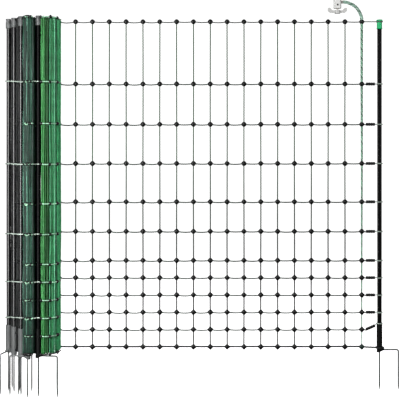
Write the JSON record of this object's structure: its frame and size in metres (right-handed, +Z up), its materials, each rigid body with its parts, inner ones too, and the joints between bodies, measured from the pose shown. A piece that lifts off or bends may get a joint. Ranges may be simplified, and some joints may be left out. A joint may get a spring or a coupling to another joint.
{
  "type": "electrified poultry net",
  "caption": "Electrified poultry net, partly unfolded: a spread panel between a bundle of folded netting with its posts and an end post, with a feed lead on top.",
  "frame": {"origin": "middle of the footprint, at the tips of the spikes", "axes": "+Z up, +X from the bundle towards the end post, the net's plane parallel to X and Z, -Y towards the side with the bundle"},
  "size_m": [1.3607, 0.148, 1.386],
  "materials": {
    "folded_netting": "folded strands with moulded knots",
    "conductor_line": "twisted strands with fine steel wires",
    "top_line": "twisted strands",
    "bottom_line": "twisted strands",
    "strut": "twisted strands",
    "knot": "moulded",
    "riser": "twisted strands",
    "crimp": "shrunk sleeve",
    "loop": "twisted strand",
    "rod": "glossy extruded rod",
    "end_cap": "moulded",
    "line_cap": "smoky moulded",
    "foot": "moulded",
    "spike": "galvanized",
    "lead": "twisted strands",
    "bright_steel": "stainless",
    "white_plastic": "moulded"
  },
  "bodies": {
    "bundle": {"folded_net_left": "folded_netting", "folded_net_middle": "folded_netting", "folded_net_back": "folded_netting", "folded_net_right": "folded_netting", "inner_lines": "conductor_line", "inner_columns": "strut"},
    "net_strip_1": {"top_line_1": "top_line", "conductors_1": "conductor_line", "bottom_line_1": "bottom_line", "struts_1": "strut", "knots_1": "knot"},
    "net_strip_2": {"top_line_2": "top_line", "conductors_2": "conductor_line", "bottom_line_2": "bottom_line", "struts_2": "strut", "knots_2": "knot"},
    "net_strip_3": {"top_line_3": "top_line", "conductors_3": "conductor_line", "bottom_line_3": "bottom_line", "struts_3": "strut", "knots_3": "knot", "edge_riser": "riser", "crimp_sleeves": "crimp", "post_loops": "loop", "feed_lead": "lead", "lead_ferrule": "bright_steel", "terminal_body": "white_plastic", "eye_plate": "bright_steel"},
    "end_post": {"end_rod": "rod", "end_cap": "end_cap", "end_foot": "foot", "end_spike": "spike"},
    "line_post_1": {"line_rod_1": "rod", "line_cap_1": "line_cap", "line_foot_1": "foot", "line_spike_1": "spike"},
    "line_post_2": {"line_rod_2": "rod", "line_cap_2": "line_cap", "line_foot_2": "foot", "line_spike_2": "spike"},
    "line_post_3": {"line_rod_3": "rod", "line_cap_3": "line_cap", "line_foot_3": "foot", "line_spike_3": "spike"},
    "line_post_4": {"line_rod_4": "rod", "line_cap_4": "line_cap", "line_foot_4": "foot", "line_spike_4": "spike"},
    "line_post_5": {"line_rod_5": "rod", "line_cap_5": "line_cap", "line_foot_5": "foot", "line_spike_5": "spike"},
    "line_post_6": {"line_rod_6": "rod", "line_cap_6": "line_cap", "line_foot_6": "foot", "line_spike_6": "spike"},
    "clamp": {"clamp_plate": "bright_steel"},
    "wing_screw": {"wing_grip": "white_plastic", "screw_shank": "bright_steel"}
  },
  "joints": [
    {"name": "net_fold_1", "type": "hinge", "parent": "bundle", "child": "net_strip_1", "pos_m": [-0.434, 0.055, 0], "axis": [0, 0, 1], "range_deg": [-90, 90]},
    {"name": "net_fold_2", "type": "hinge", "parent": "net_strip_1", "child": "net_strip_2", "pos_m": [-0.086, 0.055, 0], "axis": [0, 0, 1], "range_deg": [-90, 90]},
    {"name": "net_fold_3", "type": "hinge", "parent": "net_strip_2", "child": "net_strip_3", "pos_m": [0.262, 0.055, 0], "axis": [0, 0, 1], "range_deg": [-90, 90]},
    {"name": "end_post_swivel", "type": "hinge", "parent": "net_strip_3", "child": "end_post", "pos_m": [0.613, 0.055, 0], "axis": [0, 0, 1], "range_deg": [-135, 135]},
    {"name": "line_post_1_swivel", "type": "hinge", "parent": "bundle", "child": "line_post_1", "pos_m": [-0.662, 0.038, 0], "axis": [0, 0, 1], "range_deg": [-24, 8]},
    {"name": "line_post_2_swivel", "type": "hinge", "parent": "bundle", "child": "line_post_2", "pos_m": [-0.638, 0.009, 0], "axis": [0, 0, 1], "range_deg": [-8, 2]},
    {"name": "line_post_3_swivel", "type": "hinge", "parent": "bundle", "child": "line_post_3", "pos_m": [-0.607, -0.033, 0], "axis": [0, 0, 1], "range_deg": [-10, 4]},
    {"name": "line_post_4_swivel", "type": "hinge", "parent": "bundle", "child": "line_post_4", "pos_m": [-0.626, 0.048, 0], "axis": [0, 0, 1], "range_deg": [-4, 4]},
    {"name": "line_post_5_swivel", "type": "hinge", "parent": "bundle", "child": "line_post_5", "pos_m": [-0.546, -0.048, 0], "axis": [0, 0, 1], "range_deg": [-60, 60]},
    {"name": "line_post_6_swivel", "type": "hinge", "parent": "bundle", "child": "line_post_6", "pos_m": [-0.58, -0.062, 0], "axis": [0, 0, 1], "range_deg": [-6, 10]},
    {"name": "clamp_slide", "type": "slide", "parent": "net_strip_3", "child": "clamp", "axis": [0, 0, 1], "range_m": [0, 0.004]},
    {"name": "wing_turn", "type": "hinge", "parent": "clamp", "child": "wing_screw", "pos_m": [0.468, 0.055, 1.31], "axis": [0, 0, 1], "range_deg": [0, 1440]}
  ],
  "couplings": [
    {"joint": "wing_turn", "follows": "clamp_slide", "rad_per_m": 6283.2}
  ]
}
